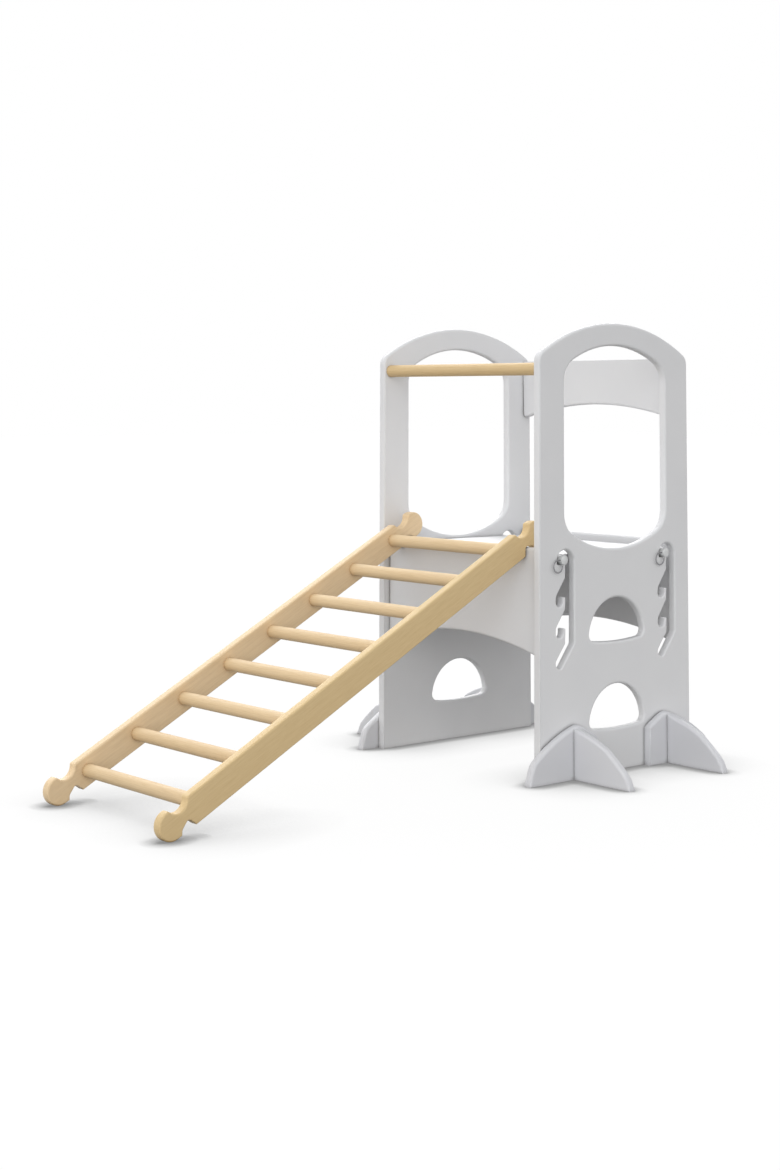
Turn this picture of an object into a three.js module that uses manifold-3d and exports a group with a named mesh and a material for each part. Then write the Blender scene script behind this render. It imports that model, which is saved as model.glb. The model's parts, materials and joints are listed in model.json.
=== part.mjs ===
// A child's climbing tower with its hook-on ladder, standing on the floor at z = 0.
// Millimetres, +Z up. The ladder leads up to the front, which faces -X.
// Left is +Y and right is -Y, seen by a child who climbs the ladder.

import * as THREE from 'three';
import { mergeVertices } from 'three/addons/utils/BufferGeometryUtils.js';
import Module from 'manifold-3d';

// Tower
const TOWER_WIDTH = 490;
const TOWER_DEPTH = 456;
const TOWER_HEIGHT = 920;
const BOARD_THICKNESS = 18;

// Side panel outline and its window
const ARCH_RADIUS = 410;
const SHOULDER_RADIUS = 25;
const WINDOW_SIDE_MARGIN = 74;
const WINDOW_BOTTOM = 454;
const WINDOW_TOP_MARGIN = 47;
const WINDOW_ARC_RADIUS = 270;
const WINDOW_CORNER_RADIUS = 50;

// Two climbing holes in each side panel
const HOLE_WIDTH = 168;
const HOLE_HEIGHT = 90;
const HOLE_SAG = 4;
const HOLE_CORNER_RADIUS = 14;
const LOWER_HOLE_BOTTOM = 86;
const UPPER_HOLE_BOTTOM = 263;

// Platform, which hangs on four pins in the slots of the side panels
const PLATFORM_TOP = 447;
const PLATFORM_FRONT_GAP = 1.5;
const PLATFORM_REAR_GAP = 24.5;
const PLATFORM_SIDE_GAP = 1;
const PIN_INSET = 27;
const PIN_RADIUS = 9.5;
const PIN_OVERHANG = 11;
const PIN_CHAMFER = 1.2;
const SHANK_RADIUS = 4;
const SHANK_LENGTH = 30;
const CLIP_INSET = 5.5;

// Height slots, measured from the axis of the pin that rests on the top ledge
const CHANNEL_OFFSET = 25.8;
const CHANNEL_WIDTH = 25.4;
const OPENING_RADIUS = 25;
const OPENING_RISE = 19;
const LEDGE_RADIUS = 3;
const POCKET_WIDTH = 21.2;
const POCKET_SETBACK = 4;
const SECOND_LEVEL_DROP = 83.3;
const THIRD_LEVEL_DROP = 146;
const LOWEST_LEVEL_DROP = 207;
const NOSE_RISE = 8;
const RAMP_FOOT_RISE = 10;
const RAMP_HEAD_RISE = 45;
const RAMP_RADIUS = 6;
const CHUTE_ANGLE = THREE.MathUtils.degToRad(51.5);
const CHUTE_RADIUS = 8;

// Ring clip of bent wire
const WIRE_RADIUS = 1.4;
const RING_RADIUS = 12.6;
const RING_OFFSET = 14.5;
const RING_TURN = THREE.MathUtils.degToRad(274);
const LEG_OVERHANG = 4;

// Skirt boards under the platform
const SKIRT_TOP = 462;
const SKIRT_HEIGHT = 220;
const SKIRT_ARCH_RISE = 34;
const SKIRT_SETBACK = 15;
const SKIRT_CORNER_RADIUS = 12;

// Back rail, hung down from the top of the tower
const BACK_RAIL_DROP = 70;
const BACK_RAIL_HEIGHT = 130;
const BACK_RAIL_ARCH_RISE = 30.5;
const BACK_RAIL_SETBACK = 7;
const BACK_RAIL_CORNER_RADIUS = 8;

// Grab bar across the front, hung down from the top of the tower
const GRAB_BAR_RADIUS = 13;
const GRAB_BAR_DROP = 97.5;
const GRAB_BAR_SETBACK = 19;
const GRAB_BAR_SOCKET = 9;

// Hidden joint dowels in the ends of the boards
const DOWEL_RADIUS = 4;
const DOWEL_IN_PANEL = 11;
const DOWEL_IN_BOARD = 20;
const DOWEL_HEIGHT_SHARES = [0.22, 0.8];

// Feet: a plate flat on the panel and a fin square to it
const FOOT_SETBACK = 86;
const PLATE_HEIGHT = 106.5;
const PLATE_OUTER_REACH = 132;
const PLATE_INNER_REACH = 62;
const PLATE_CURVE_SHARES = [
  [1, 0], [0.997, 0.07], [0.972, 0.2], [0.938, 0.315], [0.894, 0.413], [0.826, 0.483],
  [0.674, 0.61], [0.591, 0.676], [0.462, 0.765], [0.352, 0.83], [0.22, 0.901],
  [0.112, 0.948], [0, 0.99], [-0.05, 1],
];
const PLATE_INNER_SHARES = [
  [-0.2, 0.993], [-0.42, 0.948], [-0.63, 0.878], [-0.83, 0.815], [-1, 0.735], [-1, 0],
];
const FIN_REACH = 146;
const FIN_HEIGHT = 101;
const FIN_CURVE_SHARES = [
  [1, 0], [0.99, 0.09], [0.962, 0.188], [0.918, 0.282], [0.836, 0.396], [0.753, 0.5],
  [0.671, 0.599], [0.589, 0.688], [0.507, 0.752], [0.384, 0.832], [0.247, 0.901],
  [0.082, 0.975], [0, 1],
];

// Ladder
const LADDER_WIDTH = 388;
const LADDER_THICKNESS = 20;
const LADDER_LENGTH = 1054;
const LADDER_DEPTH = 54;
const RUNG_COUNT = 8;
const RUNG_SPACING = 123.3;
const RUNG_RADIUS = 13;
const RUNG_SOCKET = 12;
const SCOOP_RADIUS = 22;
const SCOOP_RISE = 33;
const SCOOP_FROM_END = 54.3;
const SCOOP_RIM_RADIUS = 5;
const HOOK_FROM_END = 61.5;
const HOOK_DROP = 8.5;
const HOOK_MOUTH = 22;
const HOOK_CORNER_RADIUS = 6;

// Shared clearances and the overrun of every cut
const FIT_GAP = 0.3;
const OVERRUN = 2;

// Facets
const FACET_ANGLE = THREE.MathUtils.degToRad(10);
const FACET_LENGTH = 13;
const BOW_FACETS = 24;
const ROUND_FACETS = 24;
const PIN_FACETS = 24;
const DOWEL_FACETS = 12;
const WIRE_FACETS = 6;
const WIRE_STEPS = 24;
const CURVE_FACETS = 3;

const wasm = await Module();
wasm.setup();

// Materials

function paintedBoard() {
  return new THREE.MeshStandardMaterial({ color: 0xd2d2d3, roughness: 0.45, metalness: 0 });
}

function plainWood() {
  return new THREE.MeshStandardMaterial({ color: 0xd9bb8c, roughness: 0.5, metalness: 0 });
}

function platedSteel() {
  return new THREE.MeshStandardMaterial({ color: 0xb4b6b8, roughness: 0.35, metalness: 0.9 });
}

// Outlines

function arcPoints(centreX, centreY, radius, start, end) {
  const sweep = Math.abs(end - start);
  const steps = Math.ceil(Math.max(sweep / FACET_ANGLE, (sweep * radius) / FACET_LENGTH));
  const points = [];
  for (let i = 0; i <= steps; i += 1) {
    const angle = start + ((end - start) * i) / steps;
    const x = centreX + radius * Math.cos(angle);
    const y = centreY + radius * Math.sin(angle);
    points.push(new THREE.Vector2(x, y));
  }
  return points;
}

// One corner [x, y, radius] of a polygon, rounded by an arc that both sides touch.
function roundedCorner(corner, before, after) {
  const [x, y, radius = 0] = corner;
  if (radius === 0) {
    return [new THREE.Vector2(x, y)];
  }
  const point = new THREE.Vector2(x, y);
  const back = new THREE.Vector2(before[0], before[1]).sub(point).normalize();
  const ahead = new THREE.Vector2(after[0], after[1]).sub(point).normalize();
  const half = Math.acos(THREE.MathUtils.clamp(back.dot(ahead), -1, 1)) / 2;
  const middle = back.clone().add(ahead).normalize();
  const centre = point.clone().addScaledVector(middle, radius / Math.sin(half));
  const touch = point.clone().addScaledVector(back, radius / Math.tan(half)).sub(centre);
  const turn = Math.sign(ahead.cross(back)) * (Math.PI - 2 * half);
  return arcPoints(centre.x, centre.y, radius, touch.angle(), touch.angle() + turn);
}

function roundedPolygon(corners) {
  const count = corners.length;
  return corners.flatMap((corner, i) => {
    const before = corners[(i + count - 1) % count];
    const after = corners[(i + 1) % count];
    return roundedCorner(corner, before, after);
  });
}

// A chord from -half to half at the given height, bowed up or down by rise, left to right.
function bow(half, height, rise) {
  const radius = (half * half + rise * rise) / (2 * Math.abs(rise));
  const span = Math.asin(half / radius);
  const points = [];
  for (let i = 0; i <= BOW_FACETS; i += 1) {
    const angle = span * ((2 * i) / BOW_FACETS - 1);
    const lift = radius * (Math.cos(angle) - Math.cos(span));
    points.push([radius * Math.sin(angle), height + Math.sign(rise) * lift]);
  }
  return points;
}

// The top of an arched opening or panel, from its right side over to its left side.
function archTop(half, apex, radius, corner) {
  const centreY = apex - radius;
  const cornerX = half - corner;
  const cornerY = centreY + Math.sqrt((radius - corner) ** 2 - cornerX ** 2);
  const join = Math.atan2(cornerY - centreY, cornerX);
  return [
    ...arcPoints(cornerX, cornerY, corner, 0, join),
    ...arcPoints(0, centreY, radius, join, Math.PI - join),
    ...arcPoints(-cornerX, cornerY, corner, Math.PI - join, Math.PI),
  ];
}

function mirrorAcross(points, height) {
  return points.map((point) => new THREE.Vector2(-point.x, 2 * height - point.y));
}

function withoutRepeats(points) {
  return points.filter((point, i) => {
    const before = points[(i + points.length - 1) % points.length];
    return point.distanceTo(before) > WIRE_RADIUS / ROUND_FACETS;
  });
}

function smoothCurve(points) {
  const curve = new THREE.SplineCurve(points);
  return curve.getPoints(CURVE_FACETS * (points.length - 1));
}

// Solids

function extruded(outline, thickness, holes = []) {
  const shape = new THREE.Shape(withoutRepeats(outline));
  shape.holes = holes.map((hole) => new THREE.Path(withoutRepeats(hole)));
  return new THREE.ExtrudeGeometry(shape, { depth: thickness, bevelEnabled: false });
}

// An outline in x and z, from y = 0 to y = thickness.
function slabAcrossY(outline, thickness, holes) {
  const geometry = extruded(outline, thickness, holes);
  geometry.rotateX(Math.PI / 2);
  geometry.translate(0, thickness, 0);
  return geometry;
}

// An outline in y and z, from x = 0 to x = thickness.
function slabAcrossX(outline, thickness) {
  const geometry = extruded(outline, thickness);
  const turn = new THREE.Matrix4().makeBasis(
    new THREE.Vector3(0, 1, 0),
    new THREE.Vector3(0, 0, 1),
    new THREE.Vector3(1, 0, 0),
  );
  geometry.applyMatrix4(turn);
  return geometry;
}

// A rod along y from start to end, with its axis at x and z.
function rodAlongY(radius, x, z, start, end, facets) {
  const geometry = new THREE.CylinderGeometry(radius, radius, end - start, facets);
  geometry.translate(x, (start + end) / 2, z);
  return geometry;
}

function toSolid(geometry) {
  const bare = geometry.clone();
  bare.deleteAttribute('normal');
  bare.deleteAttribute('uv');
  const merged = mergeVertices(bare);
  const vertProperties = new Float32Array(merged.attributes.position.array);
  const triVerts = new Uint32Array(merged.index.array);
  return new wasm.Manifold(new wasm.Mesh({ numProp: 3, vertProperties, triVerts }));
}

function toGeometry(solid) {
  const mesh = solid.getMesh();
  const geometry = new THREE.BufferGeometry();
  const positions = new THREE.BufferAttribute(mesh.vertProperties, 3);
  geometry.setAttribute('position', positions);
  geometry.setIndex(new THREE.BufferAttribute(mesh.triVerts, 1));
  geometry.computeVertexNormals();
  return geometry;
}

function cutFrom(geometry, tools) {
  const solid = tools.reduce((rest, tool) => rest.subtract(toSolid(tool)), toSolid(geometry));
  return toGeometry(solid);
}

function named(name, geometry, material) {
  const mesh = new THREE.Mesh(geometry, material);
  mesh.name = name;
  return mesh;
}

// Places that several pieces share

const SIDES = [['left', 1], ['right', -1]];
const ENDS = [['front', -1], ['rear', 1]];
const halfDepth = TOWER_DEPTH / 2;
const panelOuter = TOWER_WIDTH / 2;
const panelInner = panelOuter - BOARD_THICKNESS;
const skirtOuter = halfDepth - SKIRT_SETBACK;
const skirtInner = skirtOuter - BOARD_THICKNESS;
const skirtBottom = SKIRT_TOP - SKIRT_HEIGHT;
const backRailInner = halfDepth - BACK_RAIL_SETBACK - BOARD_THICKNESS;
const backRailTop = TOWER_HEIGHT - BACK_RAIL_DROP;
const backRailBottom = backRailTop - BACK_RAIL_HEIGHT;
const grabBarX = GRAB_BAR_SETBACK - halfDepth;
const grabBarHeight = TOWER_HEIGHT - GRAB_BAR_DROP;
const footX = halfDepth - FOOT_SETBACK;
const pinHeight = PLATFORM_TOP - BOARD_THICKNESS / 2;
const platformFront = PLATFORM_FRONT_GAP - skirtInner;
const platformRear = skirtInner - PLATFORM_REAR_GAP;
const platformSide = panelInner - PLATFORM_SIDE_GAP;
const pinFrontX = platformFront + PIN_INSET;
const pinRearX = platformRear - PIN_INSET;
const pinEnd = panelOuter + PIN_OVERHANG;
const clipSide = pinEnd - CLIP_INSET;

function dowelHeights(bottom, height) {
  return DOWEL_HEIGHT_SHARES.map((share) => bottom + share * height);
}

// Every board between the side panels, with the middle of its thickness in x.
const crossBoards = [
  { name: 'front_skirt', x: -skirtOuter, bottom: skirtBottom, height: SKIRT_HEIGHT },
  { name: 'rear_skirt', x: skirtInner, bottom: skirtBottom, height: SKIRT_HEIGHT },
  { name: 'back_rail', x: backRailInner, bottom: backRailBottom, height: BACK_RAIL_HEIGHT },
];

// Side panels

function windowHole() {
  const half = halfDepth - WINDOW_SIDE_MARGIN;
  const apex = TOWER_HEIGHT - WINDOW_TOP_MARGIN;
  const middle = (apex + WINDOW_BOTTOM) / 2;
  const top = archTop(half, apex, WINDOW_ARC_RADIUS, WINDOW_CORNER_RADIUS);
  return [...top, ...mirrorAcross(top, middle)];
}

// A half disc over a slightly sagging sill, with its two lower corners rounded.
function climbingHole(bottom) {
  const radius = HOLE_WIDTH / 2;
  const centre = bottom + HOLE_HEIGHT - radius;
  const sill = bottom + HOLE_SAG;
  const cornerY = sill + HOLE_CORNER_RADIUS;
  const cornerX = Math.sqrt((radius - HOLE_CORNER_RADIUS) ** 2 - (cornerY - centre) ** 2);
  const join = Math.atan2(cornerY - centre, cornerX);
  const down = -Math.PI / 2;
  return [
    ...bow(cornerX, sill, -HOLE_SAG).map(([x, y]) => new THREE.Vector2(x, y)),
    ...arcPoints(cornerX, cornerY, HOLE_CORNER_RADIUS, down, join),
    ...arcPoints(0, centre, radius, join, Math.PI - join),
    ...arcPoints(-cornerX, cornerY, HOLE_CORNER_RADIUS, Math.PI - join, Math.PI - down),
  ];
}

// One height slot: an opening with a ledge, a channel, two hooked pockets and a slanted end.
function heightSlot(pinX) {
  const channel = pinX + CHANNEL_OFFSET;
  const channelLeft = channel - CHANNEL_WIDTH / 2;
  const channelRight = channel + CHANNEL_WIDTH / 2;
  const pocketMiddle = pinX - POCKET_SETBACK;
  const pocketRadius = POCKET_WIDTH / 2;
  const pocketLeft = pocketMiddle - pocketRadius;
  const pocketRight = pocketMiddle + pocketRadius;
  const noseRadius = (channelLeft - pocketRight) / 2;
  const openingLeft = channelRight - 2 * OPENING_RADIUS;
  const openingTop = pinHeight + OPENING_RISE;
  const ledge = pinHeight - PIN_RADIUS - FIT_GAP;
  const pocket = (level) => [
    [channelLeft, level + NOSE_RISE, noseRadius],
    [pocketRight, level + NOSE_RISE, noseRadius],
    [pocketRight, level - pocketRadius, pocketRadius],
    [pocketLeft, level - pocketRadius, pocketRadius],
    [pocketLeft, level + RAMP_FOOT_RISE, RAMP_RADIUS],
    [channelLeft, level + RAMP_HEAD_RISE, RAMP_RADIUS],
  ];
  const lowest = new THREE.Vector2(pocketMiddle, pinHeight - LOWEST_LEVEL_DROP);
  const along = new THREE.Vector2(Math.cos(CHUTE_ANGLE), Math.sin(CHUTE_ANGLE));
  const across = new THREE.Vector2(along.y, -along.x);
  const endRight = lowest.clone().addScaledVector(along, -pocketRadius);
  const endLeft = endRight.clone().addScaledVector(across, -pocketRadius);
  endRight.addScaledVector(across, pocketRadius);
  const rise = (x, end) => end.y + ((x - end.x) * along.y) / along.x;
  return roundedPolygon([
    [openingLeft, openingTop, OPENING_RADIUS],
    [openingLeft, ledge, LEDGE_RADIUS],
    [channelLeft, ledge, LEDGE_RADIUS],
    ...pocket(pinHeight - SECOND_LEVEL_DROP).reverse(),
    ...pocket(pinHeight - THIRD_LEVEL_DROP).reverse(),
    [channelLeft, rise(channelLeft, endLeft), RAMP_RADIUS],
    [endLeft.x, endLeft.y, pocketRadius],
    [endRight.x, endRight.y, pocketRadius],
    [channelRight, rise(channelRight, endRight), CHUTE_RADIUS],
    [channelRight, openingTop, OPENING_RADIUS],
  ]);
}

function panelOutline() {
  const top = archTop(halfDepth, TOWER_HEIGHT, ARCH_RADIUS, SHOULDER_RADIUS);
  return [new THREE.Vector2(-halfDepth, 0), new THREE.Vector2(halfDepth, 0), ...top];
}

// Blind sockets in a panel's inner face, for the grab bar and the joint dowels.
function panelSockets(inner) {
  const start = (depth) => (inner > 0 ? inner - OVERRUN : inner - depth - FIT_GAP);
  const end = (depth) => (inner > 0 ? inner + depth + FIT_GAP : inner + OVERRUN);
  const socket = (radius, depth, x, z, facets) => {
    return rodAlongY(radius + FIT_GAP, x, z, start(depth), end(depth), facets);
  };
  const bar = socket(GRAB_BAR_RADIUS, GRAB_BAR_SOCKET, grabBarX, grabBarHeight, ROUND_FACETS);
  const dowels = crossBoards.flatMap(({ x, bottom, height }) => {
    const middle = x + BOARD_THICKNESS / 2;
    return dowelHeights(bottom, height).map((z) => {
      return socket(DOWEL_RADIUS, DOWEL_IN_PANEL, middle, z, DOWEL_FACETS);
    });
  });
  return [bar, ...dowels];
}

function sidePanel(side, sign) {
  const holes = [
    windowHole(),
    climbingHole(LOWER_HOLE_BOTTOM),
    climbingHole(UPPER_HOLE_BOTTOM),
    heightSlot(pinFrontX),
    heightSlot(pinRearX),
  ];
  const slab = slabAcrossY(panelOutline(), BOARD_THICKNESS, holes);
  slab.translate(0, sign > 0 ? panelInner : -panelOuter, 0);
  const cut = cutFrom(slab, panelSockets(sign * panelInner));
  return named(`side_panel_${side}`, cut, paintedBoard());
}

// Boards across the tower

function dowelBores(x, bottom, height) {
  return dowelHeights(bottom, height).flatMap((z) => SIDES.map(([, sign]) => {
    const deep = sign * (panelInner - DOWEL_IN_BOARD - FIT_GAP);
    const open = sign * (panelInner + OVERRUN);
    const [start, end] = sign > 0 ? [deep, open] : [open, deep];
    return rodAlongY(DOWEL_RADIUS + FIT_GAP, x, z, start, end, DOWEL_FACETS);
  }));
}

function crossBoard({ name, x, bottom, height }, outline) {
  const slab = slabAcrossX(outline, BOARD_THICKNESS);
  slab.translate(x, 0, 0);
  const bores = dowelBores(x + BOARD_THICKNESS / 2, bottom, height);
  return named(name, cutFrom(slab, bores), paintedBoard());
}

function skirtOutline() {
  return roundedPolygon([
    ...bow(panelInner, skirtBottom, SKIRT_ARCH_RISE),
    [panelInner, SKIRT_TOP, SKIRT_CORNER_RADIUS],
    [-panelInner, SKIRT_TOP, SKIRT_CORNER_RADIUS],
  ]);
}

function backRailOutline() {
  const half = panelInner - BACK_RAIL_CORNER_RADIUS;
  return roundedPolygon([
    [-panelInner, backRailBottom, BACK_RAIL_CORNER_RADIUS],
    ...bow(half, backRailBottom, BACK_RAIL_ARCH_RISE),
    [panelInner, backRailBottom, BACK_RAIL_CORNER_RADIUS],
    [panelInner, backRailTop],
    [-panelInner, backRailTop],
  ]);
}

function crossBoardMeshes() {
  const outlines = [skirtOutline(), skirtOutline(), backRailOutline()];
  return crossBoards.map((board, i) => crossBoard(board, outlines[i]));
}

function jointDowels() {
  return crossBoards.flatMap(({ name, x, bottom, height }) => {
    const levels = dowelHeights(bottom, height);
    return SIDES.flatMap(([side, sign]) => levels.map((z, i) => {
      const ends = [sign * (panelInner - DOWEL_IN_BOARD), sign * (panelInner + DOWEL_IN_PANEL)];
      const start = Math.min(...ends);
      const end = Math.max(...ends);
      const middle = x + BOARD_THICKNESS / 2;
      const dowel = rodAlongY(DOWEL_RADIUS, middle, z, start, end, DOWEL_FACETS);
      return named(`${name}_dowel_${side}_${i + 1}`, dowel, plainWood());
    }));
  });
}

function grabBar() {
  const reach = panelInner + GRAB_BAR_SOCKET;
  const bar = rodAlongY(GRAB_BAR_RADIUS, grabBarX, grabBarHeight, -reach, reach, ROUND_FACETS);
  return named('grab_bar', bar, plainWood());
}

// Feet

function footPlate(end, endSign, side, sign) {
  const place = (reach) => ([across, up]) => {
    return new THREE.Vector2(endSign * across * reach, up * PLATE_HEIGHT);
  };
  const outer = smoothCurve(PLATE_CURVE_SHARES.map(place(PLATE_OUTER_REACH)));
  const inner = PLATE_INNER_SHARES.map(place(PLATE_INNER_REACH));
  const geometry = slabAcrossY([...outer, ...inner], BOARD_THICKNESS);
  const plate = named(`foot_plate_${end}_${side}`, geometry, paintedBoard());
  const inside = sign > 0 ? panelOuter : -panelOuter - BOARD_THICKNESS;
  plate.position.set(endSign * footX, inside, 0);
  return plate;
}

function footFin(end, endSign, side, sign) {
  const outline = smoothCurve(FIN_CURVE_SHARES.map(([across, up]) => {
    return new THREE.Vector2(sign * across * FIN_REACH, up * FIN_HEIGHT);
  }));
  const corner = new THREE.Vector2(0, 0);
  const geometry = slabAcrossX([...outline, corner], BOARD_THICKNESS);
  const fin = named(`foot_fin_${end}_${side}`, geometry, paintedBoard());
  const root = sign * (panelOuter + BOARD_THICKNESS);
  fin.position.set(endSign * footX - BOARD_THICKNESS / 2, root, 0);
  return fin;
}

// Platform, its pins and their ring clips

function platformBoard() {
  const outline = [
    new THREE.Vector2(-platformSide, -BOARD_THICKNESS / 2),
    new THREE.Vector2(platformSide, -BOARD_THICKNESS / 2),
    new THREE.Vector2(platformSide, BOARD_THICKNESS / 2),
    new THREE.Vector2(-platformSide, BOARD_THICKNESS / 2),
  ];
  const board = slabAcrossX(outline, platformRear - platformFront);
  board.translate(platformFront, 0, pinHeight);
  const bores = [pinFrontX, pinRearX].flatMap((x) => SIDES.map(([, sign]) => {
    const deep = sign * (platformSide - SHANK_LENGTH - FIT_GAP);
    const open = sign * (platformSide + OVERRUN);
    const [start, end] = sign > 0 ? [deep, open] : [open, deep];
    return rodAlongY(SHANK_RADIUS + FIT_GAP, x, pinHeight, start, end, PIN_FACETS);
  }));
  return named('platform_board', cutFrom(board, bores), paintedBoard());
}

function stubPin(end, x, side, sign) {
  const barrel = pinEnd - platformSide;
  const profile = [
    new THREE.Vector2(0, -SHANK_LENGTH),
    new THREE.Vector2(SHANK_RADIUS, -SHANK_LENGTH),
    new THREE.Vector2(SHANK_RADIUS, 0),
    new THREE.Vector2(PIN_RADIUS, 0),
    new THREE.Vector2(PIN_RADIUS, barrel - PIN_CHAMFER),
    new THREE.Vector2(PIN_RADIUS - PIN_CHAMFER, barrel),
    new THREE.Vector2(0, barrel),
  ];
  const body = new THREE.LatheGeometry(profile, PIN_FACETS);
  const reach = 2 * (PIN_RADIUS + OVERRUN);
  const crossHole = new THREE.CylinderGeometry(
    WIRE_RADIUS + FIT_GAP, WIRE_RADIUS + FIT_GAP, reach, DOWEL_FACETS,
  );
  crossHole.rotateZ(Math.PI / 2);
  crossHole.translate(0, barrel - CLIP_INSET, 0);
  const pin = named(`stub_pin_${end}_${side}`, cutFrom(body, [crossHole]), platedSteel());
  pin.rotation.z = sign > 0 ? 0 : Math.PI;
  pin.position.set(x, sign * platformSide, pinHeight);
  return pin;
}

// The wire runs straight through the pin along x, then turns down and round into its ring.
function clipPath() {
  const leg = new THREE.Vector3(PIN_RADIUS + LEG_OVERHANG, 0, 0);
  const bend = new THREE.Vector3(-RING_OFFSET, 0, 0);
  const path = new THREE.CurvePath();
  path.add(new THREE.LineCurve3(leg, bend));
  const turns = [];
  for (let i = 0; i <= WIRE_STEPS; i += 1) {
    const angle = Math.PI / 2 + (RING_TURN * i) / WIRE_STEPS;
    const x = -RING_OFFSET + RING_RADIUS * Math.cos(angle);
    const z = RING_RADIUS * (Math.sin(angle) - 1);
    turns.push(new THREE.Vector3(x, 0, z));
  }
  path.add(new THREE.CatmullRomCurve3(turns));
  return path;
}

function ringClip(end, x, side, sign) {
  const section = new THREE.Shape();
  section.absarc(0, 0, WIRE_RADIUS, 0, 2 * Math.PI);
  const wire = new THREE.ExtrudeGeometry(section, {
    steps: WIRE_STEPS + WIRE_STEPS / 2,
    extrudePath: clipPath(),
    curveSegments: WIRE_FACETS / 2,
    bevelEnabled: false,
  });
  const clip = named(`ring_clip_${end}_${side}`, wire, platedSteel());
  clip.position.set(x, sign * clipSide, pinHeight);
  return clip;
}

function platformParts() {
  const pins = [['front', pinFrontX], ['rear', pinRearX]];
  const fittings = pins.flatMap(([end, x]) => SIDES.flatMap(([side, sign]) => [
    stubPin(end, x, side, sign),
    ringClip(end, x, side, sign),
  ]));
  return [platformBoard(), ...fittings];
}

// Ladder, drawn along its middle line: x runs up the ladder and z is square to it

const ladderHalf = LADDER_LENGTH / 2;
const endRadius = LADDER_DEPTH / 2;
const hookAlong = ladderHalf - HOOK_FROM_END;

// The rounded inner corner of a hook rides on the square edge of the skirt.
const hookSlack = FIT_GAP + HOOK_CORNER_RADIUS * (1 - Math.SQRT1_2);
const hookX = -skirtOuter - hookSlack;
const hookZ = SKIRT_TOP + hookSlack;

// The lower ends touch the floor and the hooks rest on the front skirt, which sets the slope.
function ladderSlope() {
  const foot = ladderHalf - endRadius;
  const run = foot + hookAlong;
  const reach = Math.hypot(run, HOOK_DROP);
  return Math.asin((hookZ - endRadius) / reach) + Math.atan2(HOOK_DROP, run);
}

// The scoop in the upper edge, with its two rims rounded over, towards the middle.
function scoopPoints() {
  const centre = ladderHalf - SCOOP_FROM_END;
  const rimZ = endRadius - SCOOP_RIM_RADIUS;
  const rimX = Math.sqrt((SCOOP_RADIUS + SCOOP_RIM_RADIUS) ** 2 - (SCOOP_RISE - rimZ) ** 2);
  const down = Math.atan2(rimZ - SCOOP_RISE, rimX);
  const up = Math.PI + down;
  return [
    ...arcPoints(centre + rimX, rimZ, SCOOP_RIM_RADIUS, Math.PI / 2, up),
    ...arcPoints(centre, SCOOP_RISE, SCOOP_RADIUS, down, -Math.PI - down),
    ...arcPoints(centre - rimX, rimZ, SCOOP_RIM_RADIUS, -down, Math.PI / 2),
  ];
}

// Upper end of a rail, from its lower edge round to its upper edge.
function railEnd(slope) {
  const floorX = Math.cos(slope);
  const floorZ = -Math.sin(slope);
  const wallX = -Math.sin(slope);
  const wallZ = -Math.cos(slope);
  const wall = (endRadius - HOOK_DROP) / Math.cos(slope);
  const tip = [hookAlong + wallX * wall, -HOOK_DROP + wallZ * wall];
  const hook = [hookAlong, -HOOK_DROP, HOOK_CORNER_RADIUS];
  const throat = [
    hook[0] + floorX * HOOK_MOUTH, hook[1] + floorZ * HOOK_MOUTH, HOOK_CORNER_RADIUS,
  ];
  const lip = (throat[1] + endRadius) / Math.cos(slope);
  const ball = [throat[0] - wallX * lip, throat[1] + wallZ * lip];
  const round = arcPoints(ladderHalf - endRadius, 0, endRadius, -Math.PI / 2, Math.PI / 2);
  const curved = [...round, ...scoopPoints()].map((point) => [point.x, point.y]);
  return [tip, hook, throat, ball, ...curved];
}

function railOutline(slope) {
  const upper = railEnd(slope);
  const lower = upper.map(([x, z, radius = 0]) => [-x, z, radius]).reverse();
  return roundedPolygon([...upper, ...lower]);
}

function rungPlaces() {
  const middle = (RUNG_COUNT - 1) / 2;
  return Array.from({ length: RUNG_COUNT }, (_, i) => (i - middle) * RUNG_SPACING);
}

function ladderRail(side, sign, slope) {
  const inner = LADDER_WIDTH / 2 - LADDER_THICKNESS;
  const slab = slabAcrossY(railOutline(slope), LADDER_THICKNESS);
  slab.translate(0, sign > 0 ? inner : -inner - LADDER_THICKNESS, 0);
  const deep = sign * (inner + RUNG_SOCKET + FIT_GAP);
  const open = sign * (inner - OVERRUN);
  const [start, end] = sign > 0 ? [open, deep] : [deep, open];
  const sockets = rungPlaces().map((x) => {
    return rodAlongY(RUNG_RADIUS + FIT_GAP, x, 0, start, end, ROUND_FACETS);
  });
  return named(`ladder_rail_${side}`, cutFrom(slab, sockets), plainWood());
}

function rung(x, number) {
  const reach = LADDER_WIDTH / 2 - LADDER_THICKNESS + RUNG_SOCKET;
  const rod = rodAlongY(RUNG_RADIUS, x, 0, -reach, reach, ROUND_FACETS);
  return named(`rung_${number}`, rod, plainWood());
}

function ladder() {
  const slope = ladderSlope();
  const group = new THREE.Group();
  SIDES.forEach(([side, sign]) => group.add(ladderRail(side, sign, slope)));
  rungPlaces().forEach((x, i) => group.add(rung(x, i + 1)));
  const hook = new THREE.Vector3(hookAlong, 0, -HOOK_DROP);
  group.rotation.y = -slope;
  hook.applyEuler(group.rotation);
  group.position.set(hookX - hook.x, 0, hookZ - hook.z);
  return group;
}

const tower = new THREE.Group();
SIDES.forEach(([side, sign]) => tower.add(sidePanel(side, sign)));
crossBoardMeshes().forEach((board) => tower.add(board));
jointDowels().forEach((dowel) => tower.add(dowel));
tower.add(grabBar());
ENDS.forEach(([end, endSign]) => SIDES.forEach(([side, sign]) => {
  tower.add(footPlate(end, endSign, side, sign));
  tower.add(footFin(end, endSign, side, sign));
}));
platformParts().forEach((part) => tower.add(part));
tower.add(ladder());

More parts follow.
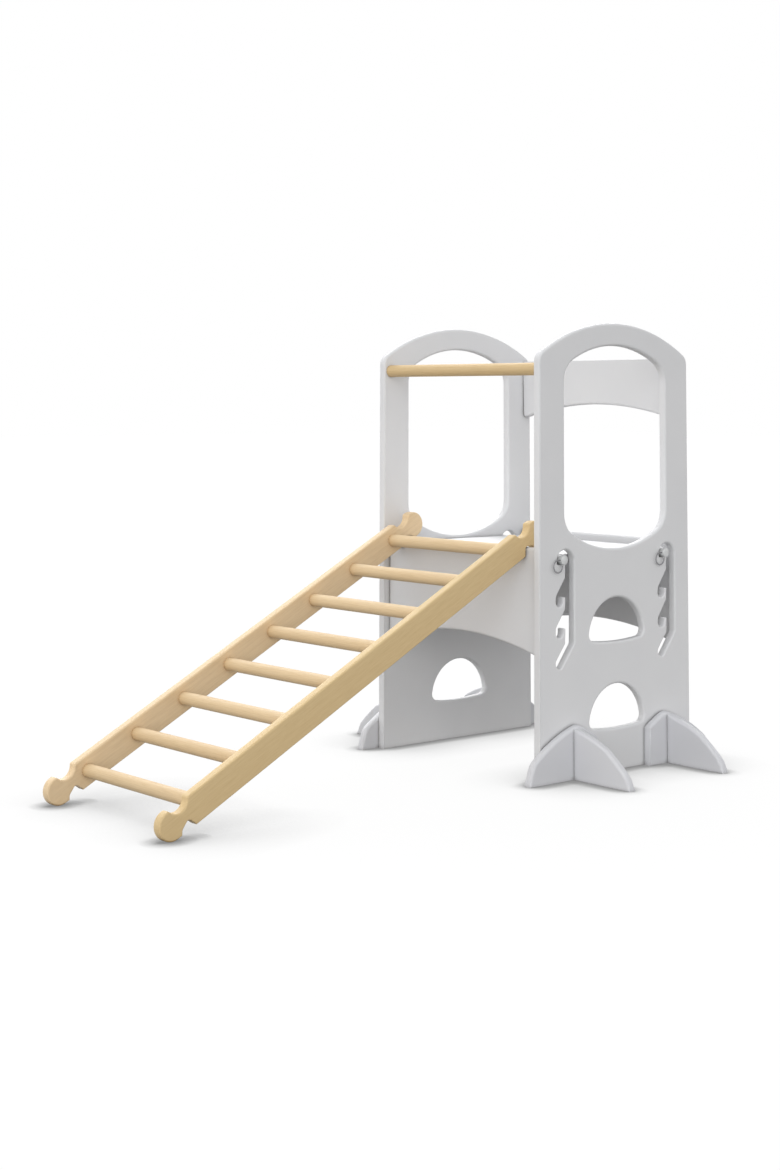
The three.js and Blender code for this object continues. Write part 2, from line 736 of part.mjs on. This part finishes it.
// The origin is on the floor, under the middle of the whole outline.
const outline = new THREE.Box3().setFromObject(tower, true);
tower.position.x = -(outline.min.x + outline.max.x) / 2;

export default tower;
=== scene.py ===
import json
import math

import bmesh
import bpy
import numpy as np
from mathutils import Matrix, Vector

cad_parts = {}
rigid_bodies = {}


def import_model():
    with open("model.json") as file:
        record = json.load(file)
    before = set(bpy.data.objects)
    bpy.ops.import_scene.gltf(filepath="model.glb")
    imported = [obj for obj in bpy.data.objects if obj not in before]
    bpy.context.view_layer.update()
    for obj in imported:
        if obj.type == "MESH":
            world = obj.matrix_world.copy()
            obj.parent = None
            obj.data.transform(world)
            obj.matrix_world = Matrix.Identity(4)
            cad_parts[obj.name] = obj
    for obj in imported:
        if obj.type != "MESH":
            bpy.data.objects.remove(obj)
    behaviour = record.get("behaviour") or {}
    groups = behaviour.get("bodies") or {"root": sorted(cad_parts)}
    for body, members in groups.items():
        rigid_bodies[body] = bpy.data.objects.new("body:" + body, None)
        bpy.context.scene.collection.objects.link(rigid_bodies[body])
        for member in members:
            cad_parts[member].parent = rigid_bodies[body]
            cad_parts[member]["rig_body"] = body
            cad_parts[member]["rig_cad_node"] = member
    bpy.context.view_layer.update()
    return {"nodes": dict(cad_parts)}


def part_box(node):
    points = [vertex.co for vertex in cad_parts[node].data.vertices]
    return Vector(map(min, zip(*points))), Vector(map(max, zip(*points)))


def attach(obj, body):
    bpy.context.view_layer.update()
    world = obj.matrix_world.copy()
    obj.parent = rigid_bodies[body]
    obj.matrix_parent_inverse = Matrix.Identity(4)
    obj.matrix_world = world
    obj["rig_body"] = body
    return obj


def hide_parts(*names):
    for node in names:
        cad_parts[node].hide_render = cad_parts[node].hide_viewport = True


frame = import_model()

MM = 0.001

# Photograph
PHOTO_WIDTH = 780
PHOTO_HEIGHT = 1170
FOCAL_PIXELS = 1860.08
CENTRE_COLUMN = 333
CENTRE_ROW = 300
CAMERA_PLACE = (-2.50853, -2.86185, 0.75753)
CAMERA_HEADING = 0.881171
CAMERA_PITCH = 0.053947
CAMERA_ROLL = 0.003058
SENSOR = 36
CLIP = (0.05, 100)

# Eased edges
BOARD_EDGE = 5.5 * MM
FOOT_EDGE = 6 * MM
RAIL_EDGE = 3.5 * MM
HOLDING_RING = 0.3 * MM
EDGE_STEPS = 6
RIM_SPACING = 3 * MM
SHARE_OF_BOARD = 0.8
SHARE_OF_OPENING = 0.35
SMOOTH_LIMIT = math.radians(35)
MERGE_LIMIT = 0.01 * MM
NEAR = 0.1 * MM
FACES_AXIS = 0.999
WIRE_LEVELS = 2

# Painted shade in the creases and joints, and the shares of open room between which it fades
CREASE_REACH = 12 * MM
CREASE_SPAN = (0.3, 0.75)
CREASE_SAMPLES = 6

# The middle of a noise pattern, over which a tone or a roughness changes
NOISE_SPAN = (0.3, 0.7)

# Paint, with the sizes of its patterns in waves per metre
PAINT_ROUGHNESS = (0.40, 0.56)
PAINT_SPECULAR = 0.22
# Colour of the painted shade in the paint's creases
PAINT_CREASE_SHADE = (0.54, 0.535, 0.53)
PAINT_CLOUD = 7
PAINT_SHEEN = 24
PAINT_SWELL = 60
PAINT_PEEL = 420
PAINT_SPECK = 900
SPECK_SHARE = 0.15

# Wood, with the sizes of its patterns in waves per metre and how much of each shows
WOOD_ROUGHNESS = (0.48, 0.62)
WOOD_SPECULAR = 0.3
# Colour of the painted shade in the wood's creases
WOOD_CREASE_SHADE = (0.60, 0.52, 0.42)
GRAIN_STRETCH = 0.05
WOOD_CLOUD = 14
WOOD_RING = 26
WOOD_FIBRE = 520
WOOD_PORE = 1400
RING_SHARE = 0.15
FIBRE_SHARE = 0.35
PORE_SHARE = 0.12

# Metal, with the sizes of its patterns in waves per metre
METAL_CLOUD = 120
METAL_TURNING = 1800
TURNING_STRETCH = 8
WORN_SHARE = 0.88

# Light
FILL = 0.58
FILL_FROM_FRONT = 0.66
FILL_TINT = (0.985, 0.99, 1)
FRONT_STRENGTH = 0.85
FRONT_FROM = (-0.68, -0.70, 0.18)
FRONT_SPREAD = 60
KEY_STRENGTH = 2.2
KEY_FROM = (0.41, 0.71, 0.57)
KEY_SPREAD = 60
FLOOR_SIZE = 60
FLOOR_TONE = 0.06
FLOOR_ROUGHNESS = 0.9
FLOOR_SAMPLES = 8
FLOOR_LIGHT = 1.6
FLOOR_LOW_LIGHT = 4
FLOOR_TINT = (1, 0.98, 0.945)
FLOOR_GLOW = 0.94
# Painted shadow on the floor: how far it reaches, and how dark it gets
CONTACT_REACH = 0.036
CONTACT_SPAN = (0.35, 0.99)
CONTACT_CURVE = 3
CONTACT_DARK = 0.45
STANDING_REACH = 0.17
STANDING_SPAN = (0.5, 0.98)
STANDING_DARK = 0.58

# Sockets that the finished pieces close over, a little wider than their rods
BAR_SOCKET = 14 * MM
DOWEL_SOCKET = 5 * MM
RUNG_SOCKET = 14 * MM


def deselect_all():
    if bpy.context.mode != "OBJECT":
        bpy.ops.object.mode_set(mode="OBJECT")
    bpy.ops.object.select_all(action="DESELECT")


def make_active(piece):
    deselect_all()
    piece.select_set(True)
    bpy.context.view_layer.objects.active = piece


def middle(a, b):
    return (a + b) / 2


def axis_of(node):
    """Where a rod along y crosses the x-z plane."""
    centre = middle(*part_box(node))
    return centre.x, centre.z


# Materials


def direct_rays(tree):
    """A socket that is 1 for the rays that show the studio itself, seen, mirrored or through
    glass, and 0 for the rays that carry its light."""
    path = tree.nodes.new("ShaderNodeLightPath")
    total = path.outputs["Is Camera Ray"]
    for kind in ("Is Glossy Ray", "Is Transmission Ray"):
        add = tree.nodes.new("ShaderNodeMath")
        add.operation = "ADD"
        add.use_clamp = True
        tree.links.new(total, add.inputs[0])
        tree.links.new(path.outputs[kind], add.inputs[1])
        total = add.outputs[0]
    return total


class Finish:
    """A material under construction, with its nodes and one principled shader."""

    def __init__(self, name):
        self.material = bpy.data.materials.new(name)
        self.material.use_nodes = True
        self.tree = self.material.node_tree
        self.tree.nodes.clear()
        self.output = self.node("ShaderNodeOutputMaterial")
        self.shader = self.node("ShaderNodeBsdfPrincipled")
        self.link(self.shader.outputs["BSDF"], self.output.inputs["Surface"])

    def node(self, kind, **settings):
        node = self.tree.nodes.new(kind)
        for key, value in settings.items():
            setattr(node, key, value)
        return node

    def link(self, source, target):
        self.tree.links.new(source, target)

    def place(self, turn=(0, 0, 0), scale=(1, 1, 1)):
        coordinates = self.node("ShaderNodeTexCoord")
        mapping = self.node("ShaderNodeMapping", vector_type="TEXTURE")
        mapping.inputs["Rotation"].default_value = turn
        mapping.inputs["Scale"].default_value = scale
        self.link(coordinates.outputs["Object"], mapping.inputs["Vector"])
        return mapping.outputs["Vector"]

    def noise(self, vector, scale, detail=2, roughness=0.5, distortion=0):
        noise = self.node("ShaderNodeTexNoise")
        self.link(vector, noise.inputs["Vector"])
        noise.inputs["Scale"].default_value = scale
        noise.inputs["Detail"].default_value = detail
        noise.inputs["Roughness"].default_value = roughness
        noise.inputs["Distortion"].default_value = distortion
        return noise.outputs["Fac"]

    def ramp(self, factor, stops):
        stops = list(stops)
        ramp = self.node("ShaderNodeValToRGB")
        self.link(factor, ramp.inputs["Fac"])
        elements = ramp.color_ramp.elements
        while len(elements) < len(stops):
            elements.new(0.5)
        for element, (position, colour) in zip(elements, stops):
            element.position = position
            element.color = (*colour, 1)
        return ramp.outputs["Color"]

    def range(self, factor, low, high, start=0.0, end=1.0):
        spread = self.node("ShaderNodeMapRange")
        self.link(factor, spread.inputs["Value"])
        spread.inputs["From Min"].default_value = start
        spread.inputs["From Max"].default_value = end
        spread.inputs["To Min"].default_value = low
        spread.inputs["To Max"].default_value = high
        return spread.outputs["Result"]

    def mix(self, factor, first, second, blend="MIX"):
        mix = self.node("ShaderNodeMix", data_type="RGBA", blend_type=blend)
        if isinstance(factor, float):
            mix.inputs[0].default_value = factor
        else:
            self.link(factor, mix.inputs[0])
        for socket, value in ((mix.inputs[6], first), (mix.inputs[7], second)):
            if isinstance(value, tuple):
                socket.default_value = (*value, 1)
            else:
                self.link(value, socket)
        return mix.outputs[2]

    def bump(self, height, strength, distance, before=None):
        bump = self.node("ShaderNodeBump")
        bump.inputs["Strength"].default_value = strength
        bump.inputs["Distance"].default_value = distance
        self.link(height, bump.inputs["Height"])
        if before is not None:
            self.link(before, bump.inputs["Normal"])
        return bump.outputs["Normal"]

    def open_room(self, reach, samples):
        """The share of the room within reach of the surface that is open."""
        room = self.node("ShaderNodeAmbientOcclusion", samples=samples)
        room.inputs["Distance"].default_value = reach
        return room.outputs["AO"]

    def calculate(self, operation, first, second):
        result = self.node("ShaderNodeMath", operation=operation)
        for socket, value in zip(result.inputs, (first, second)):
            if isinstance(value, (int, float)):
                socket.default_value = value
            else:
                self.link(value, socket)
        return result.outputs[0]

    def painted_crease_shade(self, colour, shade_tint):
        """Paints shade into the colour where another surface is close, in creases and joints."""
        dark, clear = CREASE_SPAN
        room = self.open_room(CREASE_REACH, CREASE_SAMPLES)
        shade_ramp = self.ramp(room, [(dark, shade_tint), (clear, (1, 1, 1))])
        return self.mix(1.0, colour, shade_ramp, "MULTIPLY")


def painted_board(name, deep, pale):
    """Satin white paint, sprayed, with a faint orange peel and slightly uneven sheen."""
    paint = Finish(name)
    place = paint.place()
    cloud = paint.noise(place, PAINT_CLOUD, detail=3)
    tone = paint.ramp(cloud, zip(NOISE_SPAN, (deep, pale)))
    speck = paint.noise(place, PAINT_SPECK, detail=1)
    fleck = paint.ramp(speck, [(0.25, (0.94, 0.94, 0.94)), (0.4, (1, 1, 1))])
    colour = paint.mix(SPECK_SHARE, tone, fleck, "MULTIPLY")
    # Painted shade in the creases and joints
    colour = paint.painted_crease_shade(colour, PAINT_CREASE_SHADE)
    paint.link(colour, paint.shader.inputs["Base Color"])
    sheen = paint.noise(place, PAINT_SHEEN, detail=4)
    gloss = paint.range(sheen, *PAINT_ROUGHNESS, *NOISE_SPAN)
    paint.link(gloss, paint.shader.inputs["Roughness"])
    paint.shader.inputs["Specular IOR Level"].default_value = PAINT_SPECULAR
    peel = paint.noise(place, PAINT_PEEL, detail=2)
    swell = paint.noise(place, PAINT_SWELL, detail=2)
    soft = paint.bump(swell, 0.06, 1.2 * MM)
    paint.link(paint.bump(peel, 0.10, 0.4 * MM, soft), paint.shader.inputs["Normal"])
    return paint.material


def plain_wood(name, turn, seed, pale, deep):
    """Pale clear-coated wood. Its grain runs along x once the pattern is turned."""
    wood = Finish(name)
    place = wood.place(turn)
    long = wood.node("ShaderNodeMapping", vector_type="POINT")
    long.inputs["Scale"].default_value = (GRAIN_STRETCH, 1, 1)
    long.inputs["Location"].default_value = seed
    wood.link(place, long.inputs["Vector"])
    along = long.outputs["Vector"]
    cloud = wood.noise(along, WOOD_CLOUD, detail=3)
    rings = wood.node("ShaderNodeTexWave", wave_type="BANDS", bands_direction="Z")
    wood.link(along, rings.inputs["Vector"])
    rings.inputs["Scale"].default_value = WOOD_RING
    rings.inputs["Distortion"].default_value = 6
    rings.inputs["Detail"].default_value = 3
    rings.inputs["Detail Scale"].default_value = 1.2
    fibre = wood.noise(along, WOOD_FIBRE, detail=5, roughness=0.6)
    pore = wood.noise(along, WOOD_PORE, detail=2)
    base = wood.ramp(cloud, zip(NOISE_SPAN, (deep, pale)))
    ring = wood.ramp(
        rings.outputs["Fac"],
        [(0.0, (1, 1, 1)), (0.72, (0.965, 0.95, 0.93)), (1.0, (0.87, 0.82, 0.75))],
    )
    grain = wood.mix(RING_SHARE, base, ring, "MULTIPLY")
    streak = wood.ramp(fibre, [(0.35, (0.80, 0.74, 0.65)), (0.6, (1, 1, 1))])
    grain = wood.mix(FIBRE_SHARE, grain, streak, "MULTIPLY")
    dark = wood.ramp(pore, [(0.30, (0.72, 0.62, 0.50)), (0.40, (1, 1, 1))])
    grain = wood.mix(PORE_SHARE, grain, dark, "MULTIPLY")
    # Painted shade in the creases and joints, over the grain
    grain = wood.painted_crease_shade(grain, WOOD_CREASE_SHADE)
    wood.link(grain, wood.shader.inputs["Base Color"])
    gloss = wood.range(fibre, *WOOD_ROUGHNESS, *NOISE_SPAN)
    wood.link(gloss, wood.shader.inputs["Roughness"])
    wood.shader.inputs["Specular IOR Level"].default_value = WOOD_SPECULAR
    raised = wood.bump(fibre, 0.12, 0.5 * MM)
    wood.link(raised, wood.shader.inputs["Normal"])
    return wood.material


def plated_steel(name, tone, bare, smooth, rough):
    """Zinc plate on steel, with a fine turned grain. The less bare it is, the more matt."""
    steel = Finish(name)
    place = steel.place(scale=(1, TURNING_STRETCH, 1))
    turned = steel.noise(place, METAL_TURNING, detail=3)
    cloud = steel.noise(place, METAL_CLOUD, detail=2)
    worn = tuple(WORN_SHARE * channel for channel in tone)
    colour = steel.ramp(cloud, zip(NOISE_SPAN, (worn, tone)))
    steel.link(colour, steel.shader.inputs["Base Color"])
    steel.shader.inputs["Metallic"].default_value = bare
    gloss = steel.range(turned, smooth, rough, *NOISE_SPAN)
    steel.link(gloss, steel.shader.inputs["Roughness"])
    steel.link(steel.bump(turned, 0.08, 0.2 * MM), steel.shader.inputs["Normal"])
    return steel.material


def studio_floor():
    """White floor that lights the object softly from low at its sides. The camera sees it bright
    enough to meet the backdrop, with a painted shadow that darkens it where the object stands
    close over it."""
    floor = Finish("studio_floor")
    floor.shader.inputs["Base Color"].default_value = (FLOOR_TONE, FLOOR_TONE, FLOOR_TONE, 1)
    floor.shader.inputs["Roughness"].default_value = FLOOR_ROUGHNESS
    floor.shader.inputs["Specular IOR Level"].default_value = 0
    direct = direct_rays(floor.tree)
    # Painted shadow: the glow that the camera sees darkens with the room the object leaves open
    under = floor.range(floor.open_room(CONTACT_REACH, FLOOR_SAMPLES), 0, 1, *CONTACT_SPAN)
    contact_shadow = floor.range(
        floor.calculate("POWER", under, CONTACT_CURVE), CONTACT_DARK * FLOOR_GLOW, FLOOR_GLOW,
    )
    around = floor.open_room(STANDING_REACH, FLOOR_SAMPLES)
    standing_shadow = floor.range(around, STANDING_DARK, 1, *STANDING_SPAN)
    slant = floor.node("ShaderNodeLayerWeight")
    slant.inputs["Blend"].default_value = 0.5
    low = floor.calculate("POWER", slant.outputs["Facing"], FLOOR_LOW_LIGHT)
    glow = floor.node("ShaderNodeMix", data_type="FLOAT")
    floor.link(direct, glow.inputs[0])
    floor.link(floor.range(low, 0, FLOOR_LIGHT), glow.inputs[2])
    floor.link(floor.calculate("MULTIPLY", contact_shadow, standing_shadow), glow.inputs[3])
    lamp = floor.node("ShaderNodeEmission")
    floor.link(floor.mix(direct, FLOOR_TINT, (1, 1, 1)), lamp.inputs["Color"])
    floor.link(glow.outputs[0], lamp.inputs["Strength"])
    both = floor.node("ShaderNodeAddShader")
    floor.link(floor.shader.outputs["BSDF"], both.inputs[0])
    floor.link(lamp.outputs["Emission"], both.inputs[1])
    floor.link(both.outputs[0], floor.output.inputs["Surface"])
    return floor.material


# Boards


def finished_copy(node):
    """A copy of a CAD node with its loose triangles merged, ready to finish by hand."""
    make_active(frame["nodes"][node])
    bpy.ops.object.duplicate()
    piece = bpy.context.active_object
    piece.name = f"{node}_finished"
    piece.data.name = piece.name
    del piece["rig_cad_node"]
    bpy.ops.object.mode_set(mode="EDIT")
    bpy.ops.mesh.select_all(action="SELECT")
    bpy.ops.mesh.remove_doubles(threshold=MERGE_LIMIT)
    bpy.ops.object.mode_set(mode="OBJECT")
    return piece


def select_faces(piece, wanted):
    """Opens the piece in edit mode with only the faces that the test picks."""
    make_active(piece)
    bpy.ops.object.mode_set(mode="EDIT")
    bpy.ops.mesh.select_mode(type="FACE")
    bpy.ops.mesh.select_all(action="DESELECT")
    mesh = bmesh.from_edit_mesh(piece.data)
    for face in mesh.faces:
        face.select = wanted(face)
    mesh.select_flush_mode()
    bmesh.update_edit_mesh(piece.data)


def open_rim(mesh, axis, plane):
    """Selects the open edges that lie in the plane and gives them back."""
    rim = []
    for edge in mesh.edges:
        edge.select = len(edge.link_faces) == 1 and all(
            abs(vert.co[axis] - plane) < NEAR for vert in edge.verts
        )
        if edge.select:
            rim.append(edge)
    mesh.select_flush_mode()
    return rim


def room_beside(places, ways, samples):
    """For each point of a rim, the radius of the largest round that fits on one side of it."""
    apart = samples[None, :, :] - places[:, None, :]
    depth = np.einsum("psk,pk->ps", apart, ways)
    deep = depth > NEAR * NEAR
    radius = np.full(depth.shape, np.inf)
    radius[deep] = (apart**2).sum(2)[deep] / (2 * depth[deep])
    return radius.min(1)


def rim_plan(rim, widest):
    """For each point of the rim: its place, the way out of the board and the rounding there,
    which is less wide where the board or the opening beside it is narrow."""
    normals, samples = {}, []
    for edge in rim:
        start, end = (vert.co for vert in edge.verts)
        pieces = max(1, int((end - start).length / RIM_SPACING))
        samples += [start.lerp(end, step / pieces) for step in range(pieces)]
        for vert in edge.verts:
            samples.append(vert.co.copy())
            normals.setdefault(vert, []).append(edge.link_faces[0].normal.copy())
    verts = list(normals)
    bisectors = [first + second for first, second in normals.values()]
    places = np.array([vert.co for vert in verts])
    ways = np.array([way.normalized() for way in bisectors])
    samples = np.array(samples)
    board = SHARE_OF_BOARD * room_beside(places, -ways, samples)
    opening = SHARE_OF_OPENING * room_beside(places, ways, samples)
    plan = {}
    for vert, way, fits in zip(verts, bisectors, np.minimum(board, opening)):
        first, second = normals[vert]
        out = way / (1 + first.dot(second))
        plan[vert] = (vert.co.copy(), out, min(widest, fits))
    return plan


def ease_face(piece, axis, sign, widest):
    """Rounds the rim of one broad face: the face comes off, its rim is drawn in ring by ring
    over a quarter circle, and the face is filled again inside the last ring."""
    plane = sign * max(sign * vert.co[axis] for vert in piece.data.vertices)

    def broad(face):
        flat = sign * face.normal[axis] > FACES_AXIS
        return flat and abs(face.calc_center_median()[axis] - plane) < NEAR

    select_faces(piece, broad)
    bpy.ops.mesh.delete(type="FACE")
    bpy.ops.mesh.select_mode(type="EDGE")
    mesh = bmesh.from_edit_mesh(piece.data)
    plan = rim_plan(open_rim(mesh, axis, plane), widest)
    for vert, (_, _, width) in plan.items():
        vert.co[axis] -= sign * width
    rings = [math.pi / 2 * (step + 1) / EDGE_STEPS for step in range(EDGE_STEPS)]
    for turn in [*rings, None]:
        before = {tuple(vert.co): row for vert, row in plan.items()}
        bmesh.update_edit_mesh(piece.data)
        bpy.ops.mesh.extrude_edges_move()
        mesh = bmesh.from_edit_mesh(piece.data)
        plan = {vert: before[tuple(vert.co)] for vert in mesh.verts if vert.select}
        for vert, (place, out, width) in plan.items():
            if turn is None:
                drawn, sunk = width + HOLDING_RING, 0
            else:
                drawn, sunk = width * (1 - math.cos(turn)), width * (1 - math.sin(turn))
            vert.co = place - out * drawn
            vert.co[axis] -= sign * sunk
    bmesh.update_edit_mesh(piece.data)
    bpy.ops.mesh.fill(use_beauty=True)
    bpy.ops.object.mode_set(mode="OBJECT")


def ease_board(piece, axis, widest):
    for sign in (1, -1):
        ease_face(piece, axis, sign, widest)
    make_active(piece)
    bpy.ops.object.mode_set(mode="EDIT")
    bpy.ops.mesh.select_all(action="SELECT")
    bpy.ops.mesh.normals_make_consistent(inside=False)
    bpy.ops.object.mode_set(mode="OBJECT")


def close_sockets(piece, holes):
    """Takes out the blind sockets, which their rods hide, and closes the broad face over them."""

    def in_rod(place):
        return any(math.hypot(place.x - x, place.z - z) < radius for x, z, radius in holes)

    def in_socket(face):
        return in_rod(face.calc_center_median()) and all(in_rod(vert.co) for vert in face.verts)

    select_faces(piece, in_socket)
    bpy.ops.mesh.delete(type="FACE")
    bpy.ops.mesh.select_all(action="SELECT")
    bpy.ops.mesh.fill_holes(sides=0)
    bpy.ops.object.mode_set(mode="OBJECT")


def shade_round(piece):
    make_active(piece)
    bpy.ops.object.shade_smooth_by_angle(angle=SMOOTH_LIMIT)


def draw_smooth(piece):
    """Makes a faceted wire round and its bends even."""
    make_active(piece)
    bpy.ops.object.modifier_add(type="SUBSURF")
    piece.modifiers[-1].levels = WIRE_LEVELS
    bpy.ops.object.modifier_apply(modifier=piece.modifiers[-1].name)
    bpy.ops.object.shade_smooth()


def dress(piece, node, material):
    """Gives a finished piece its material, and lets it stand for its CAD node."""
    piece.data.materials.clear()
    piece.data.materials.append(material)
    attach(piece, frame["nodes"][node]["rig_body"])
    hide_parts(node)


paint = painted_board("satin_white_paint", (0.735, 0.738, 0.752), (0.760, 0.762, 0.772))
# The feet have the boards' paint, made darker and bluer as painted shade
shaded_foot_paint = painted_board("shaded_foot_paint", (0.680, 0.684, 0.712), (0.704, 0.708, 0.732))
pin_steel = plated_steel("turned_pin_steel", (0.66, 0.67, 0.67), 0.4, 0.42, 0.60)
wire_steel = plated_steel("clip_wire_steel", (0.28, 0.28, 0.29), 1.0, 0.30, 0.45)

BOARDS = ("front_skirt", "rear_skirt", "back_rail")
rods = [(*axis_of("grab_bar"), BAR_SOCKET)]
for board in BOARDS:
    for number in (1, 2):
        rods.append((*axis_of(f"{board}_dowel_left_{number}"), DOWEL_SOCKET))

for side in ("left", "right"):
    node = f"side_panel_{side}"
    panel = finished_copy(node)
    close_sockets(panel, rods)
    ease_board(panel, 1, BOARD_EDGE)
    shade_round(panel)
    dress(panel, node, paint)

for node in BOARDS:
    board = finished_copy(node)
    ease_board(board, 0, BOARD_EDGE)
    shade_round(board)
    dress(board, node, paint)

platform = finished_copy("platform_board")
ease_board(platform, 2, BOARD_EDGE)
shade_round(platform)
dress(platform, "platform_board", paint)

for end in ("front", "rear"):
    for side in ("left", "right"):
        for kind, axis in (("plate", 1), ("fin", 0)):
            node = f"foot_{kind}_{end}_{side}"
            foot = finished_copy(node)
            ease_board(foot, axis, FOOT_EDGE)
            shade_round(foot)
            dress(foot, node, shaded_foot_paint)

# Ladder

rungs = [f"rung_{number}" for number in range(1, 9)]
foot_x, foot_z = axis_of(rungs[0])
head_x, head_z = axis_of(rungs[-1])
slope = math.atan2(head_z - foot_z, head_x - foot_x)
tilt = (0, -slope, 0)
# Both rails are one wood; the far rail's copy is lighter as painted light
rail_woods = {
    "left": plain_wood(
        "far_rail_wood_painted_light", tilt, (0.3, 0.1, 0.2), (0.84, 0.65, 0.42), (0.80, 0.61, 0.38),
    ),
    "right": plain_wood(
        "near_rail_wood", tilt, (0.7, 0.5, 0.6), (0.76, 0.58, 0.32), (0.72, 0.54, 0.29),
    ),
}
across = (0, 0, math.pi / 2)
rung_wood = plain_wood(
    "rung_wood", across, (0.1, 0.4, 0.3), (0.79, 0.61, 0.38), (0.73, 0.55, 0.33),
)
bar_wood = plain_wood(
    "bar_wood", across, (0.5, 0.2, 0.3), (0.71, 0.53, 0.29), (0.67, 0.49, 0.26),
)
rung_holes = [(*axis_of(node), RUNG_SOCKET) for node in rungs]

for side in ("left", "right"):
    node = f"ladder_rail_{side}"
    rail = finished_copy(node)
    close_sockets(rail, rung_holes)
    ease_board(rail, 1, RAIL_EDGE)
    shade_round(rail)
    dress(rail, node, rail_woods[side])

for node in [*rungs, "grab_bar"]:
    rung = finished_copy(node)
    shade_round(rung)
    dress(rung, node, bar_wood if node == "grab_bar" else rung_wood)

for end in ("front", "rear"):
    for side in ("left", "right"):
        node = f"stub_pin_{end}_{side}"
        pin = finished_copy(node)
        shade_round(pin)
        dress(pin, node, pin_steel)
        node = f"ring_clip_{end}_{side}"
        wire = finished_copy(node)
        draw_smooth(wire)
        dress(wire, node, wire_steel)

for board in BOARDS:
    for side in ("left", "right"):
        for number in (1, 2):
            dowel = frame["nodes"][f"{board}_dowel_{side}_{number}"]
            dowel.data.materials.clear()
            dowel.data.materials.append(rung_wood)

# Studio

deselect_all()
bpy.ops.mesh.primitive_plane_add(size=FLOOR_SIZE, location=(0, 0, 0))
floor = bpy.context.active_object
floor.name = "floor"
floor.data.materials.append(studio_floor())


def soft_sun(name, place, strength, spread):
    """A wide soft light from the direction of a place, as seen from the object."""
    data = bpy.data.lights.new(name, "SUN")
    data.energy = strength
    data.angle = math.radians(spread)
    lamp = bpy.data.objects.new(name, data)
    bpy.context.scene.collection.objects.link(lamp)
    lamp.rotation_euler = (-Vector(place)).to_track_quat("-Z", "Y").to_euler()


soft_sun("rear_soft_light", KEY_FROM, KEY_STRENGTH, KEY_SPREAD)
soft_sun("front_soft_light", FRONT_FROM, FRONT_STRENGTH, FRONT_SPREAD)

# The room: even fill that grows towards the front, behind a plain white backdrop
world = bpy.data.worlds.new("studio")
bpy.context.scene.world = world
world.use_nodes = True
nodes, links = world.node_tree.nodes, world.node_tree.links
nodes.clear()
out = nodes.new("ShaderNodeOutputWorld")
directions = nodes.new("ShaderNodeTexCoord")
towards_front = nodes.new("ShaderNodeVectorMath")
towards_front.operation = "DOT_PRODUCT"
towards_front.inputs[1].default_value = (-1, 0, 0)
links.new(directions.outputs["Generated"], towards_front.inputs[0])
front_half = nodes.new("ShaderNodeMath")
front_half.operation = "MAXIMUM"
front_half.inputs[1].default_value = 0
links.new(towards_front.outputs["Value"], front_half.inputs[0])
strength = nodes.new("ShaderNodeMath")
strength.operation = "MULTIPLY_ADD"
strength.inputs[1].default_value = FILL_FROM_FRONT
strength.inputs[2].default_value = FILL
links.new(front_half.outputs[0], strength.inputs[0])
fill = nodes.new("ShaderNodeBackground")
fill.inputs["Color"].default_value = (*FILL_TINT, 1)
links.new(strength.outputs[0], fill.inputs["Strength"])
white = nodes.new("ShaderNodeBackground")
white.inputs["Color"].default_value = (1, 1, 1, 1)
white.inputs["Strength"].default_value = 1
choose = nodes.new("ShaderNodeMixShader")
links.new(direct_rays(world.node_tree), choose.inputs["Fac"])
links.new(fill.outputs[0], choose.inputs[1])
links.new(white.outputs[0], choose.inputs[2])
links.new(choose.outputs[0], out.inputs["Surface"])

# Camera

heading, pitch, roll = CAMERA_HEADING, CAMERA_PITCH, CAMERA_ROLL
ahead = Vector((
    math.cos(pitch) * math.cos(heading), math.cos(pitch) * math.sin(heading), math.sin(pitch),
))
level_right = Vector((math.sin(heading), -math.cos(heading), 0))
level_up = level_right.cross(ahead)
right = level_right * math.cos(roll) + level_up * math.sin(roll)
up = level_up * math.cos(roll) - level_right * math.sin(roll)
camera_data = bpy.data.cameras.new("photo_camera")
camera = bpy.data.objects.new("photo_camera", camera_data)
bpy.context.scene.collection.objects.link(camera)
camera.matrix_world = Matrix.LocRotScale(
    Vector(CAMERA_PLACE), Matrix((right, up, -ahead)).transposed().to_quaternion(), None,
)
camera_data.sensor_width = SENSOR
camera_data.lens = FOCAL_PIXELS / PHOTO_HEIGHT * SENSOR
camera_data.shift_x = (PHOTO_WIDTH / 2 - CENTRE_COLUMN) / PHOTO_HEIGHT
camera_data.shift_y = (CENTRE_ROW - PHOTO_HEIGHT / 2) / PHOTO_HEIGHT
camera_data.clip_start, camera_data.clip_end = CLIP
bpy.context.scene.camera = camera
bpy.context.scene.view_settings.view_transform = "Standard"
